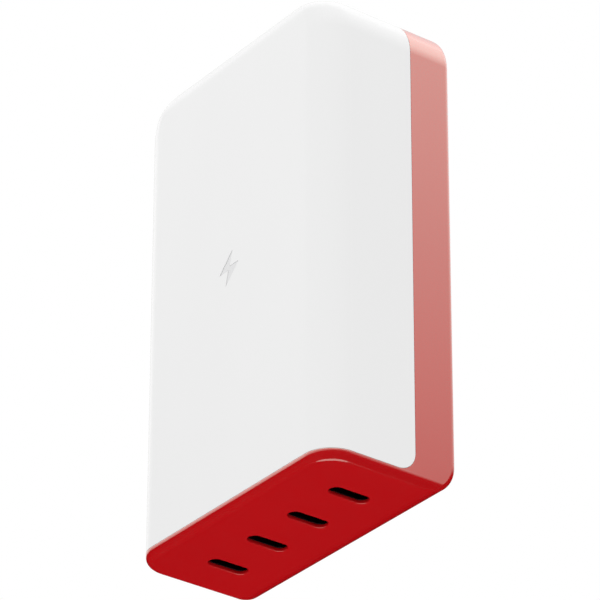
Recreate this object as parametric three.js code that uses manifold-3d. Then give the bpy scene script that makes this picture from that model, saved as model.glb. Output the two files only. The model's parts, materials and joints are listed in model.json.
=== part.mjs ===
// A slim mains wall charger with four USB-C sockets in a row on its lower end.
// Millimetres, +Z up, sockets facing down, front facing -Y, mains plug in the back (+Y).
// The origin is the middle of the base, so the charger stands on its socket end.

import * as THREE from 'three';
import * as BufferGeometryUtils from 'three/addons/utils/BufferGeometryUtils.js';
import Module from 'manifold-3d';

const wasm = await Module();
wasm.setup();

// ---------------------------------------------------------------- sizes

const housing = {
  width: 60,
  depth: 30.6,
  height: 102.9,
  wall: 2,
  floor: 1.5,
  frontEdge: 6.2, // plan radius of the two upright front edges
  rearEdge: 1.4,
  topCorner: 10, // radius of the two upper corners, seen from the front
  frontTop: 6,
  rearTop: 1.4,
  foot: 1.5, // rounding round the socket end
  rearFoot: 6.5,
};
const farAway = 200; // past everything, for cutters
const frontY = -housing.depth / 2;
const rearY = housing.depth / 2;
const innerFrontY = frontY + housing.wall;
const innerRearY = rearY - housing.wall;

const seam = {
  y: 5.5, // the cover is in front of this plane, the rear shell behind it
  z: 2.1, // the cover's lower edge
  corner: 4,
  gap: 0.2,
  lipThickness: 1.2,
  lipReach: 2.5,
  lipOverlap: 0.3, // how far the lip is sunk into the wall it grows from
};

const mark = { z: 51.6, width: 6, height: 7.2, thickness: 0.45, sunk: 0.05, gap: 0.1 };

const socket = {
  count: 4,
  pitch: 12.5,
  y: -1.2,
  slotLength: 8.7,
  slotWidth: 3,
  slotLip: 0.6, // how thick the floor is right at a slot
  shellLength: 8.94,
  shellWidth: 3.16,
  shellSheet: 0.3,
  front: 0.7, // the shell's end is sunk in the floor, just behind the slot's lip
  back: 10,
  tongueWidth: 6.7,
  tongueThickness: 0.7,
  tongueFront: 1.4,
  baseFront: 7.2,
  clearance: 0.12,
};

const hingeY = rearY - 3.8;
const hingeZ = 79;

const well = {
  halfWidth: 12.3,
  wall: 1.6,
  below: 23.8, // from the hinge to the outside of the lower wall
  above: 7.4,
  floorY: hingeY - 4,
  floorThickness: 1.4,
  corner: 2,
  gap: 0.2,
  flange: 1.2,
  flangeThickness: 1.1,
  tailRoom: 4.3, // how far above the hinge the slots for the blades' tails reach
};

const drum = {
  radius: 3.7,
  halfLength: 10.3,
  flat: 3.3, // the detent flat's distance from the axis
};

const blade = {
  spacing: 12.7, // between the two blades' middles
  thickness: 1.5,
  width: 6.35,
  reach: 20.8, // from the hinge to the tip
  shankWidth: 4.4,
  tailWidth: 3,
  tailReach: 5.2,
  waist: 0.6, // height of the slope between tail and shank
  shoulder: 4,
  tipRound: 1.6,
  holeRadius: 1.6,
  holeFromTip: 4,
  clearance: 0.1,
};

const pin = { radius: 1, inner: 8.4, outer: 11.7, clearance: 0.1, endRoom: 0.2 };

const detent = { halfWidth: 3, thickness: 0.3, span: 10, rise: 0.5, pocketDepth: 0.9, gap: 0.25 };
const contact = {
  thickness: 0.4,
  halfWidth: 1.5,
  front: hingeY - 12.4,
  back: hingeY - 4.2,
  foot: 2.4,
  gap: 0.2,
};
const lead = { radius: 0.75, side: 11.5, end: 12.5 };

const partGap = 0.3; // between a component and the board or part beside it
const chipGap = 0.2;
const board = { y: frontY + 3.8, thickness: 1.2, halfWidth: 24, bottom: 13.2, top: 96.9, corner: 1.5 };
const boardFace = board.y + board.thickness;
const componentSeat = boardFace + partGap;
const portBoard = { bottom: 10.3, thickness: 1.2, halfWidth: 25.5, front: -9.7, back: 11, corner: 1.5 };
const portBoardTop = portBoard.bottom + portBoard.thickness;
const boardLink = { halfWidth: 10, depth: 3, height: 5.8 };
const heatSpreader = { halfWidth: 21.5, bottom: 14, top: 93.5, thickness: 0.8 };
const insulatingSheet = { halfWidth: 23.5, bottom: 13.4, top: 95.5, thickness: 0.25 };

const transformer = {
  z: 35,
  y: 0.6,
  width: 28,
  depth: 8,
  height: 22,
  leg: 8,
  sideLeg: 4,
  yoke: 3.5,
  bobbinWall: 0.6,
  bobbinFlange: 0.8,
  windingGap: 0.1,
  windingInset: 0.3, // from the flanges' rim to the outer turns
  clearance: 0.2,
};

const bulkCapacitor = { radius: 5.4, length: 25, side: 20.6, y: 4, bottom: 53 };
const slimCapacitor = { x: 5.8, bottom: 50, length: 23.5 };
const outputCapacitor = { radius: 3.15, length: 8, spacing: 18, y: 6.5 };
const choke = {
  x: -16,
  y: 1,
  z: 91.6,
  outer: 6.6,
  inner: 3.4,
  height: 5,
  winding: 1.1,
  windingGap: 0.15,
  turnAngle: 130,
};

const filmCapacitor = { halfWidth: 6.5, depth: 7, bottom: 86.8, top: 97.8 };
const fuse = { radius: 2.1, left: 10.5, right: 20.5, z: 91 };
const bridge = { left: -23, right: -8.5, bottom: 59, top: 71, thickness: 3.5 };
const mainChips = [
  { name: 'switch_chip', x: -19, z: 46, half: 4 },
  { name: 'control_chip', x: -19, z: 30, half: 2.5 },
  { name: 'rectifier_chip', x: 19, z: 40, half: 4 },
];
const chipThickness = 1;
const portChip = { spacing: 24, y: -1, half: 2 };

// ---------------------------------------------------------------- materials

function plastic(color, roughness = 0.4) {
  return new THREE.MeshStandardMaterial({ color, roughness, metalness: 0 });
}

function metal(color, roughness = 0.3) {
  return new THREE.MeshStandardMaterial({ color, roughness, metalness: 1 });
}

const finish = {
  whitePlastic: () => plastic(0xeeeeee, 0.35),
  redPlastic: () => plastic(0xb01417, 0.35),
  darkPlastic: () => plastic(0x17181a, 0.5),
  steel: () => metal(0xb9bbbe, 0.35),
  blackSteel: () => metal(0x2c2c2f, 0.35),
  nickel: () => metal(0xc9c7c0, 0.25),
  bronze: () => metal(0xb98a4a, 0.35),
  copper: () => metal(0xb4643a, 0.35),
  aluminium: () => metal(0xbfc2c5, 0.4),
  laminate: () => plastic(0x1f5a37, 0.5),
  ferrite: () => plastic(0x2b2b2e, 0.6),
  chip: () => plastic(0x1b1b1d, 0.45),
  paleMark: () => plastic(0xb4b6b8, 0.3),
  filmYellow: () => plastic(0xd7b53a, 0.45),
  filmAmber: () => plastic(0xd9c27a, 0.5),
};

// ---------------------------------------------------------------- solids

const group = new THREE.Group();

function toSolid(geometry) {
  const bare = geometry.clone();
  bare.deleteAttribute('normal');
  bare.deleteAttribute('uv');
  const merged = BufferGeometryUtils.mergeVertices(bare, 1e-5);
  const mesh = new wasm.Mesh({
    numProp: 3,
    vertProperties: new Float32Array(merged.attributes.position.array),
    triVerts: new Uint32Array(merged.index.array),
  });
  return new wasm.Manifold(mesh);
}

function toGeometry(solid) {
  const mesh = solid.getMesh();
  const geometry = new THREE.BufferGeometry();
  geometry.setAttribute('position', new THREE.BufferAttribute(mesh.vertProperties, 3));
  geometry.setIndex(new THREE.BufferAttribute(mesh.triVerts, 1));
  geometry.computeVertexNormals();
  return geometry;
}

function add(name, shape, material) {
  const geometry = shape.isBufferGeometry ? shape : toGeometry(shape);
  const mesh = new THREE.Mesh(geometry, material());
  mesh.name = name;
  group.add(mesh);
  return mesh;
}

// A flat shape pushed along an axis from one coordinate to another. The shape's own two
// coordinates are (y, z) for an X prism, (x, z) for a Y prism and (x, y) for a Z prism.
function prism(shape, axis, from, to, curveSegments = 8) {
  const geometry = new THREE.ExtrudeGeometry(shape, { depth: to - from, bevelEnabled: false, curveSegments });
  const x = new THREE.Vector3(1, 0, 0);
  const y = new THREE.Vector3(0, 1, 0);
  const z = new THREE.Vector3(0, 0, 1);
  const placement = new THREE.Matrix4();
  if (axis === 'x') placement.makeBasis(y, z, x).setPosition(from, 0, 0);
  if (axis === 'y') placement.makeBasis(x, z, y.clone().negate()).setPosition(0, to, 0);
  if (axis === 'z') placement.setPosition(0, 0, from);
  return geometry.applyMatrix4(placement);
}

function block(low, high) {
  const size = high.map((value, i) => value - low[i]);
  const middle = high.map((value, i) => (value + low[i]) / 2);
  return new THREE.BoxGeometry(...size).translate(...middle);
}

// A rectangle with round corners between two opposite corners.
function roundedRectangle(left, bottom, right, top, radius) {
  const shape = new THREE.Shape();
  shape.moveTo(left + radius, bottom);
  shape.lineTo(right - radius, bottom);
  shape.absarc(right - radius, bottom + radius, radius, -Math.PI / 2, 0);
  shape.lineTo(right, top - radius);
  shape.absarc(right - radius, top - radius, radius, 0, Math.PI / 2);
  shape.lineTo(left + radius, top);
  shape.absarc(left + radius, top - radius, radius, Math.PI / 2, Math.PI);
  shape.lineTo(left, bottom + radius);
  shape.absarc(left + radius, bottom + radius, radius, Math.PI, Math.PI * 1.5);
  return shape;
}

// A cylinder along X, Y or Z between two coordinates on that axis.
function rod(axis, centre, radius, from, to, segments = 24) {
  const geometry = new THREE.CylinderGeometry(radius, radius, to - from, segments);
  if (axis === 'x') geometry.rotateZ(-Math.PI / 2);
  if (axis === 'z') geometry.rotateX(Math.PI / 2);
  const place = { x: 0, y: 0, z: 0, ...centre };
  place[axis] = (from + to) / 2;
  return geometry.translate(place.x, place.y, place.z);
}

// ---------------------------------------------------------------- the housing's outer form

// How far a surface has drawn in at this distance from the end of a rounded edge.
function edgeInset(radius, distance) {
  if (distance >= radius) return 0;
  return radius - Math.sqrt(Math.max(radius ** 2 - (radius - distance) ** 2, 0));
}

// The horizontal section of the body at one height, going anticlockwise seen from above.
function sectionAt(body, z) {
  const fromFoot = z - body.bottom;
  const fromTop = body.top - z;
  const footInset = edgeInset(body.foot, fromFoot);
  const halfWidth = body.halfWidth - footInset - edgeInset(body.topCorner, fromTop);
  const front = body.front + footInset + edgeInset(body.frontTop, fromTop);
  const rear = body.rear - edgeInset(body.rearFoot, fromFoot) - edgeInset(body.rearTop, fromTop);
  const frontRadius = body.frontEdge - footInset;
  const corners = [
    [halfWidth, rear, body.rearEdge, 0, 4],
    [-halfWidth, rear, body.rearEdge, 90, 4],
    [-halfWidth, front, frontRadius, 180, 9],
    [halfWidth, front, frontRadius, 270, 9],
  ];
  return corners.flatMap(([x, y, radius, startAngle, count]) => {
    const centreX = x - Math.sign(x) * radius;
    const centreY = y + (y === front ? radius : -radius);
    return Array.from({ length: count }, (_, i) => {
      const angle = THREE.MathUtils.degToRad(startAngle + (90 * i) / (count - 1));
      return [centreX + radius * Math.cos(angle), centreY + radius * Math.sin(angle), z];
    });
  });
}

// Heights that follow the curves of the rounded edges at both ends.
function sectionHeights(body) {
  const heights = [];
  const steps = (radius, count) => Array.from({ length: count + 1 }, (_, i) => {
    return radius * (1 - Math.cos((Math.PI / 2) * (i / count)));
  });
  for (const step of [...steps(body.foot, 4), ...steps(body.rearFoot, 6)]) heights.push(body.bottom + step);
  for (const step of [...steps(body.topCorner, 8), ...steps(body.rearTop, 2)]) heights.push(body.top - step);
  heights.sort((a, b) => a - b);
  return heights.filter((height, i) => i === 0 || height - heights[i - 1] > 0.08);
}

// The body's form, drawn in everywhere by the inset. The floor has an inset of its own.
function bodyForm(inset, floorInset = inset) {
  const smallest = 0.5;
  const drawn = (radius) => Math.max(radius - inset, smallest);
  const body = {
    halfWidth: housing.width / 2 - inset,
    front: frontY + inset,
    rear: rearY - inset,
    bottom: floorInset,
    top: housing.height - inset,
    frontEdge: drawn(housing.frontEdge),
    rearEdge: drawn(housing.rearEdge),
    topCorner: drawn(housing.topCorner),
    frontTop: drawn(housing.frontTop),
    rearTop: drawn(housing.rearTop),
    foot: drawn(housing.foot),
    rearFoot: drawn(housing.rearFoot),
  };
  const rings = sectionHeights(body).map((z) => sectionAt(body, z));
  const count = rings[0].length;
  const points = rings.flat();
  const triangles = [];
  for (let k = 0; k < rings.length - 1; k += 1) {
    for (let i = 0; i < count; i += 1) {
      const next = (i + 1) % count;
      const low = k * count;
      const high = low + count;
      triangles.push(low + i, low + next, high + next, low + i, high + next, high + i);
    }
  }
  const foot = points.push([0, 0, rings[0][0][2]]) - 1;
  const crown = points.push([0, 0, rings.at(-1)[0][2]]) - 1;
  const lastRing = (rings.length - 1) * count;
  for (let i = 0; i < count; i += 1) {
    const next = (i + 1) % count;
    triangles.push(foot, next, i, crown, lastRing + i, lastRing + next);
  }
  const geometry = new THREE.BufferGeometry();
  geometry.setAttribute('position', new THREE.Float32BufferAttribute(points.flat(), 3));
  geometry.setIndex(triangles);
  return toSolid(geometry);
}

// Everything in front of and above the seam between the two shells, drawn in by the inset.
function coverSpace(inset) {
  const y = seam.y - inset;
  const z = seam.z + inset;
  const radius = seam.corner - inset;
  const side = new THREE.Shape();
  side.moveTo(-farAway, z);
  side.lineTo(y - radius, z);
  side.absarc(y - radius, z + radius, radius, -Math.PI / 2, 0);
  side.lineTo(y, farAway);
  side.lineTo(-farAway, farAway);
  return toSolid(prism(side, 'x', -farAway, farAway));
}

// ---------------------------------------------------------------- shells

function boltShape(scale) {
  const w = (mark.width / 2) * scale;
  const h = (mark.height / 2) * scale;
  const shape = new THREE.Shape();
  shape.moveTo(w * 0.35, h);
  shape.lineTo(-w, -h * 0.12);
  shape.lineTo(-w * 0.08, -h * 0.12);
  shape.lineTo(-w * 0.35, -h);
  shape.lineTo(w, h * 0.12);
  shape.lineTo(w * 0.08, h * 0.12);
  shape.closePath();
  return shape;
}

function makeFrontMark() {
  const face = frontY + mark.sunk;
  const bolt = prism(boltShape(1), 'y', face, face + mark.thickness).translate(0, 0, mark.z);
  add('front_mark', bolt, finish.paleMark);
}

function makeFrontCover(shellWall) {
  const pocketScale = 1 + (2 * mark.gap) / mark.width;
  const pocketDepth = mark.sunk + mark.thickness + mark.gap;
  const pocket = prism(boltShape(pocketScale), 'y', frontY - 1, frontY + pocketDepth).translate(0, 0, mark.z);
  const cover = shellWall.intersect(coverSpace(seam.gap / 2)).subtract(toSolid(pocket));
  add('front_cover', cover, finish.whitePlastic);
}

function socketX(index) {
  return (index - (socket.count - 1) / 2) * socket.pitch;
}

// A slot with round ends, its long side along Y, in line with the row of sockets.
function slotShape(x, length, width) {
  const { y } = socket;
  const halfLength = length / 2;
  const halfWidth = width / 2;
  return roundedRectangle(x - halfWidth, y - halfLength, x + halfWidth, y + halfLength, halfWidth - 0.001);
}

function wellOpening(margin, from, to) {
  const side = well.halfWidth + margin;
  const low = hingeZ - well.below - margin;
  const high = hingeZ + well.above + margin;
  return toSolid(prism(roundedRectangle(-side, low, side, high, well.corner + well.wall), 'y', from, to, 4));
}

function makeRearShell(shellWall) {
  const { wall } = housing;
  let shell = shellWall.subtract(coverSpace(-seam.gap / 2));

  // The lip that the cover's edge slides over, all along the seam.
  const lipBand = bodyForm(wall - seam.lipOverlap, housing.floor - seam.lipOverlap)
    .subtract(bodyForm(wall + seam.lipThickness, housing.floor))
    .intersect(coverSpace(-seam.lipReach))
    .subtract(coverSpace(seam.lipReach));
  const coverRoom = coverSpace(-seam.gap / 2).subtract(bodyForm(wall + seam.gap, -1));
  shell = shell.add(lipBand.subtract(coverRoom));

  for (let i = 0; i < socket.count; i += 1) {
    const slot = slotShape(socketX(i), socket.slotLength, socket.slotWidth);
    const room = 2 * socket.clearance;
    const recess = slotShape(socketX(i), socket.shellLength + room, socket.shellWidth + room);
    shell = shell.subtract(toSolid(prism(slot, 'z', -1, housing.floor + 1)));
    shell = shell.subtract(toSolid(prism(recess, 'z', socket.slotLip, housing.floor + 1)));
  }
  shell = shell.subtract(wellOpening(well.gap, innerRearY - 2, rearY + 1));
  add('rear_shell', shell, finish.redPlastic);
}

// ---------------------------------------------------------------- sockets

function makeSocket(index) {
  const x = socketX(index);
  const sheet = socket.shellSheet;
  const shell = slotShape(x, socket.shellLength, socket.shellWidth);
  shell.holes.push(slotShape(x, socket.shellLength - 2 * sheet, socket.shellWidth - 2 * sheet));
  add(`usb_c_shell_${index + 1}`, prism(shell, 'z', socket.front, socket.back, 5), finish.blackSteel);

  const room = 2 * (sheet + socket.clearance);
  const base = slotShape(x, socket.shellLength - room, socket.shellWidth - room);
  const tongue = block(
    [x - socket.tongueThickness / 2, socket.y - socket.tongueWidth / 2, socket.tongueFront],
    [x + socket.tongueThickness / 2, socket.y + socket.tongueWidth / 2, socket.baseFront + 1],
  );
  const insulator = toSolid(prism(base, 'z', socket.baseFront, socket.back, 5)).add(toSolid(tongue));
  add(`usb_c_tongue_${index + 1}`, insulator, finish.darkPlastic);
}

// ---------------------------------------------------------------- folding mains plug

const bladeX = blade.spacing / 2;
const wellPocketSide = well.halfWidth - well.wall;

function makePlugWell() {
  const flangeBack = innerRearY - well.gap;
  const flange = wellOpening(well.flange, flangeBack - well.flangeThickness, flangeBack);
  const pocket = roundedRectangle(
    -wellPocketSide,
    hingeZ - well.below + well.wall,
    wellPocketSide,
    hingeZ + well.above - well.wall,
    well.corner,
  );
  let tub = wellOpening(0, well.floorY - well.floorThickness, rearY)
    .add(flange)
    .subtract(toSolid(prism(pocket, 'y', well.floorY, rearY + 1, 4)));

  // Slots in the floor, where each blade's tail and its contact pass.
  for (const side of [-1, 1]) {
    const inner = side * (bladeX - blade.thickness / 2 - partGap);
    const outer = side * (bladeX + blade.thickness / 2 + contact.gap + contact.thickness + partGap);
    const slot = block(
      [Math.min(inner, outer), 0, hingeZ - contact.halfWidth - partGap],
      [Math.max(inner, outer), well.floorY + 1, hingeZ + well.tailRoom],
    );
    tub = tub.subtract(toSolid(slot));
  }

  const detentPocket = block(
    [-detent.halfWidth - partGap, well.floorY - detent.pocketDepth, hingeZ - detent.span / 2 - partGap],
    [detent.halfWidth + partGap, well.floorY + 1, hingeZ + detent.span / 2 + partGap],
  );
  tub = tub.subtract(toSolid(detentPocket));

  const bearingEnd = pin.outer + pin.endRoom;
  const bearing = rod('x', { y: hingeY, z: hingeZ }, pin.radius + pin.clearance, -bearingEnd, bearingEnd);
  tub = tub.subtract(toSolid(bearing));
  add('plug_well', tub, finish.redPlastic);
}

// A bowed leaf on the well's floor, its crown just under the drum.
function makeDetentSpring() {
  const half = detent.span / 2;
  const crown = hingeY - drum.radius - detent.gap;
  const radius = (half ** 2 + detent.rise ** 2) / (2 * detent.rise);
  const sweep = Math.asin(half / radius);
  const centreY = crown - radius;
  const leaf = new THREE.Shape();
  leaf.absarc(centreY, hingeZ, radius, -sweep, sweep, false);
  leaf.absarc(centreY, hingeZ, radius - detent.thickness, sweep, -sweep, true);
  leaf.closePath();
  add('detent_spring', prism(leaf, 'x', -detent.halfWidth, detent.halfWidth, 10), finish.steel);
}

// The drum lies in the well with its flat face down, and faces out when the plug is open.
function makeProngCarrier() {
  const { radius, halfLength, flat } = drum;
  const round = toSolid(rod('x', { y: hingeY, z: hingeZ }, radius, -halfLength, halfLength, 40));
  const face = block([-halfLength, hingeY - radius, hingeZ - radius], [halfLength, hingeY + radius, hingeZ]);
  const detentCut = block(
    [-halfLength - 1, hingeY - radius - 1, hingeZ + flat],
    [halfLength + 1, hingeY + radius + 1, hingeZ + radius + 1],
  );
  let carrier = round.add(toSolid(face)).subtract(toSolid(detentCut));
  const halfSlot = blade.thickness / 2 + blade.clearance;
  const halfShank = blade.shankWidth / 2 + blade.clearance;
  for (const side of [-1, 1]) {
    const slot = block(
      [side * bladeX - halfSlot, hingeY - halfShank, hingeZ - radius - 1],
      [side * bladeX + halfSlot, hingeY + halfShank, hingeZ + radius + 1],
    );
    const from = side > 0 ? pin.inner - pin.clearance : -halfLength - 1;
    const to = side > 0 ? halfLength + 1 : -pin.inner + pin.clearance;
    const bore = rod('x', { y: hingeY, z: hingeZ }, pin.radius + pin.clearance, from, to);
    carrier = carrier.subtract(toSolid(slot)).subtract(toSolid(bore));
  }
  add('prong_carrier', carrier, finish.redPlastic);
}

// A stamped blade: tail and shank inside the drum, then the full width out to a rounded tip.
function bladeOutline() {
  const halfTail = blade.tailWidth / 2;
  const halfShank = blade.shankWidth / 2;
  const halfWidth = blade.width / 2;
  const tip = hingeZ - blade.reach;
  const tipArc = halfWidth - blade.tipRound;
  const shoulder = hingeZ - blade.shoulder;
  const waist = hingeZ + drum.flat;
  const outline = new THREE.Shape();
  outline.moveTo(hingeY - halfTail, hingeZ + blade.tailReach);
  outline.lineTo(hingeY - halfTail, waist);
  outline.lineTo(hingeY - halfShank, waist - blade.waist);
  outline.lineTo(hingeY - halfShank, shoulder);
  outline.lineTo(hingeY - halfWidth, shoulder);
  outline.lineTo(hingeY - halfWidth, tip + blade.tipRound);
  outline.absarc(hingeY - tipArc, tip + blade.tipRound, blade.tipRound, Math.PI, Math.PI * 1.5);
  outline.absarc(hingeY + tipArc, tip + blade.tipRound, blade.tipRound, -Math.PI / 2, 0);
  outline.lineTo(hingeY + halfWidth, shoulder);
  outline.lineTo(hingeY + halfShank, shoulder);
  outline.lineTo(hingeY + halfShank, waist - blade.waist);
  outline.lineTo(hingeY + halfTail, waist);
  outline.lineTo(hingeY + halfTail, hingeZ + blade.tailReach);
  outline.closePath();
  const hole = new THREE.Path();
  hole.absarc(hingeY, tip + blade.holeFromTip, blade.holeRadius, 0, Math.PI * 2, true);
  outline.holes.push(hole);
  return outline;
}

function makeBladesAndPins() {
  for (const [side, word] of [[-1, 'left'], [1, 'right']]) {
    const middle = side * bladeX;
    const half = blade.thickness / 2;
    add(`blade_${word}`, prism(bladeOutline(), 'x', middle - half, middle + half, 6), finish.nickel);
    const from = side > 0 ? pin.inner : -pin.outer;
    const to = side > 0 ? pin.outer : -pin.inner;
    add(`pivot_pin_${word}`, rod('x', { y: hingeY, z: hingeZ }, pin.radius, from, to, 16), finish.steel);
  }
}

// An upright leaf beside the blade's tail, with a foot that its lead is soldered to.
function makeContact(side, word) {
  const inner = bladeX + blade.thickness / 2 + contact.gap;
  const outer = inner + contact.thickness;
  const footEnd = outer + contact.foot;
  const leaf = new THREE.Shape();
  leaf.moveTo(side * inner, contact.back);
  leaf.lineTo(side * inner, contact.front);
  leaf.lineTo(side * footEnd, contact.front);
  leaf.lineTo(side * footEnd, contact.front + contact.thickness);
  leaf.lineTo(side * outer, contact.front + contact.thickness);
  leaf.lineTo(side * outer, contact.back);
  leaf.closePath();
  const strip = prism(leaf, 'z', hingeZ - contact.halfWidth, hingeZ + contact.halfWidth);
  add(`contact_spring_${word}`, strip, finish.bronze);

  const start = new THREE.Vector3(side * (footEnd - contact.foot / 3), contact.front - partGap, hingeZ);
  const route = new THREE.CatmullRomCurve3([
    start,
    new THREE.Vector3(start.x, start.y - 2.2, hingeZ + 0.6),
    new THREE.Vector3(side * lead.side, boardFace + 3.6, hingeZ + 3.2),
    new THREE.Vector3(side * lead.end, boardFace + 1, hingeZ + 6.4),
  ]);
  const section = new THREE.Shape();
  section.absarc(0, 0, lead.radius, 0, Math.PI * 2);
  const wire = new THREE.ExtrudeGeometry(section, { steps: 10, curveSegments: 4, extrudePath: route });
  add(`mains_lead_${word}`, wire, finish.darkPlastic);
}

// ---------------------------------------------------------------- circuit boards and what is on them

function makeBoards() {
  const outline = roundedRectangle(-board.halfWidth, board.bottom, board.halfWidth, board.top, board.corner);
  add('main_board', prism(outline, 'y', board.y, boardFace, 3), finish.laminate);
  const portOutline = roundedRectangle(
    -portBoard.halfWidth, portBoard.front, portBoard.halfWidth, portBoard.back, portBoard.corner,
  );
  add('port_board', prism(portOutline, 'z', portBoard.bottom, portBoardTop, 3), finish.laminate);
  const linkBase = portBoardTop + chipGap;
  const link = block(
    [-boardLink.halfWidth, componentSeat, linkBase],
    [boardLink.halfWidth, componentSeat + boardLink.depth, linkBase + boardLink.height],
  );
  add('board_link', link, finish.darkPlastic);
}

function makeTransformer() {
  const { y, z, width, depth, height, leg, sideLeg, yoke } = transformer;
  const windowHeight = height / 2 - yoke;
  const windowEdge = width / 2 - sideLeg;
  const core = roundedRectangle(-width / 2, z - height / 2, width / 2, z + height / 2, 0.6);
  for (const side of [-1, 1]) {
    const near = side * (leg / 2);
    const far = side * windowEdge;
    core.holes.push(roundedRectangle(
      Math.min(near, far), z - windowHeight, Math.max(near, far), z + windowHeight, 0.3,
    ));
  }
  add('transformer_core', prism(core, 'y', y - depth / 2, y + depth / 2, 2), finish.ferrite);

  const { bobbinWall, bobbinFlange, clearance, windingGap, windingInset } = transformer;
  const outline = (x, halfDepth, radius) => roundedRectangle(-x, y - halfDepth, x, y + halfDepth, radius);
  const bore = [leg / 2 + clearance, depth / 2 + clearance];
  const tube = [bore[0] + bobbinWall, bore[1] + bobbinWall];
  const flange = [windowEdge - clearance, tube[1] + windowEdge - clearance - tube[0]];
  const halfHeight = windowHeight - clearance;
  const grooveHalf = halfHeight - bobbinFlange;
  const spool = toSolid(prism(outline(...flange, 1), 'z', z - halfHeight, z + halfHeight, 3));
  const groove = toSolid(prism(outline(width, width, 1), 'z', z - grooveHalf, z + grooveHalf, 3));
  const barrel = toSolid(prism(outline(...tube, 0.6), 'z', z - halfHeight, z + halfHeight, 3));
  const hole = toSolid(prism(outline(...bore, 0.2), 'z', z - height, z + height, 2));
  add('transformer_bobbin', spool.subtract(groove).add(barrel).subtract(hole), finish.darkPlastic);

  const windingHalf = grooveHalf - windingGap;
  const winding = outline(flange[0] - windingInset, flange[1] - windingInset, 2.5);
  winding.holes.push(outline(tube[0] + windingGap, tube[1] + windingGap, 0.7));
  add('transformer_winding', prism(winding, 'z', z - windingHalf, z + windingHalf, 4), finish.copper);
}

// A round can standing along Z, its edges rolled over.
function capacitorCan(x, y, from, length, radius) {
  const to = from + length;
  const roll = radius * 0.14;
  const profile = [
    new THREE.Vector2(0, from),
    new THREE.Vector2(radius - roll, from),
    new THREE.Vector2(radius, from + roll),
    new THREE.Vector2(radius, to - roll),
    new THREE.Vector2(radius - roll, to),
    new THREE.Vector2(0, to),
  ];
  return new THREE.LatheGeometry(profile, 20).rotateX(Math.PI / 2).translate(x, y, 0);
}

function makeCapacitors() {
  const { radius, length, side, y, bottom } = bulkCapacitor;
  const cans = [
    capacitorCan(-side, y, bottom, length, radius),
    capacitorCan(side, y, bottom, length, radius),
    capacitorCan(slimCapacitor.x, componentSeat + radius, slimCapacitor.bottom, slimCapacitor.length, radius),
  ];
  cans.forEach((can, i) => add(`bulk_capacitor_${i + 1}`, can, finish.chip));
  const output = outputCapacitor;
  const base = portBoardTop + chipGap;
  for (let i = 0; i < 3; i += 1) {
    const can = capacitorCan((i - 1) * output.spacing, output.y, base, output.length, output.radius);
    add(`output_capacitor_${i + 1}`, can, finish.aluminium);
  }
}

// A ring core with one winding on each side of it.
function makeChoke() {
  const { x, y, z, outer, inner, height, winding, windingGap, turnAngle } = choke;
  const ring = (low, high, from, to) => {
    const corners = [[low, from], [high, from], [high, to], [low, to], [low, from]];
    const profile = corners.map(([radius, level]) => new THREE.Vector2(radius, level));
    return toSolid(new THREE.LatheGeometry(profile, 32).rotateX(Math.PI / 2).translate(x, y, z));
  };
  add('choke_core', ring(inner, outer, -height / 2, height / 2), finish.ferrite);
  const half = height / 2;
  const band = ring(inner - winding, outer + winding, -half - winding, half + winding)
    .subtract(ring(inner - windingGap, outer + windingGap, -half - windingGap, half + windingGap));
  const reach = outer * 3;
  const halfAngle = THREE.MathUtils.degToRad(turnAngle / 2);
  for (const [side, index] of [[-1, 1], [1, 2]]) {
    const wedge = new THREE.Shape();
    wedge.moveTo(x, y);
    wedge.lineTo(x + side * reach * Math.cos(halfAngle), y - reach * Math.sin(halfAngle));
    wedge.lineTo(x + side * reach * Math.cos(halfAngle), y + reach * Math.sin(halfAngle));
    wedge.closePath();
    const turns = band.intersect(toSolid(prism(wedge, 'z', z - height, z + height)));
    add(`choke_winding_${index}`, turns, finish.copper);
  }
}

function makeMainsParts() {
  const seat = componentSeat;
  const { halfWidth, depth, bottom, top } = filmCapacitor;
  const film = roundedRectangle(-halfWidth, seat, halfWidth, seat + depth, 0.8);
  add('x_capacitor', prism(film, 'z', bottom, top, 3), finish.filmYellow);
  const tube = rod('x', { y: seat + fuse.radius, z: fuse.z }, fuse.radius, fuse.left, fuse.right, 16);
  add('fuse', tube, finish.whitePlastic);
  const outline = roundedRectangle(bridge.left, bridge.bottom, bridge.right, bridge.top, 1);
  add('bridge_rectifier', prism(outline, 'y', seat, seat + bridge.thickness, 3), finish.chip);
}

function makeChips() {
  const seat = boardFace + chipGap;
  for (const { name, x, z, half } of mainChips) {
    add(name, block([x - half, seat, z - half], [x + half, seat + chipThickness, z + half]), finish.chip);
  }
  const { spacing, y, half } = portChip;
  const base = portBoardTop + chipGap;
  for (let i = 0; i < 2; i += 1) {
    const x = (i - 0.5) * spacing;
    const chip = block([x - half, y - half, base], [x + half, y + half, base + chipThickness]);
    add(`port_chip_${i + 1}`, chip, finish.chip);
  }
}

// A plate lying against the front wall, its front face at this y.
function sheet({ halfWidth, bottom, top, thickness }, face) {
  return block([-halfWidth, face, bottom], [halfWidth, face + thickness, top]);
}

function makeSheets() {
  const spreaderFace = innerFrontY + chipGap;
  add('heat_spreader', sheet(heatSpreader, spreaderFace), finish.aluminium);
  const filmFace = spreaderFace + heatSpreader.thickness + chipGap;
  add('insulating_sheet', sheet(insulatingSheet, filmFace), finish.filmAmber);
}

// ---------------------------------------------------------------- assembly

const shellWall = bodyForm(0).subtract(bodyForm(housing.wall, housing.floor));

makeFrontCover(shellWall);
makeRearShell(shellWall);
makeFrontMark();
for (let i = 0; i < socket.count; i += 1) makeSocket(i);
makePlugWell();
makeDetentSpring();
makeProngCarrier();
makeBladesAndPins();
makeContact(-1, 'left');
makeContact(1, 'right');
makeBoards();
makeTransformer();
makeCapacitors();
makeChoke();
makeMainsParts();
makeChips();
makeSheets();

export default group;
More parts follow.
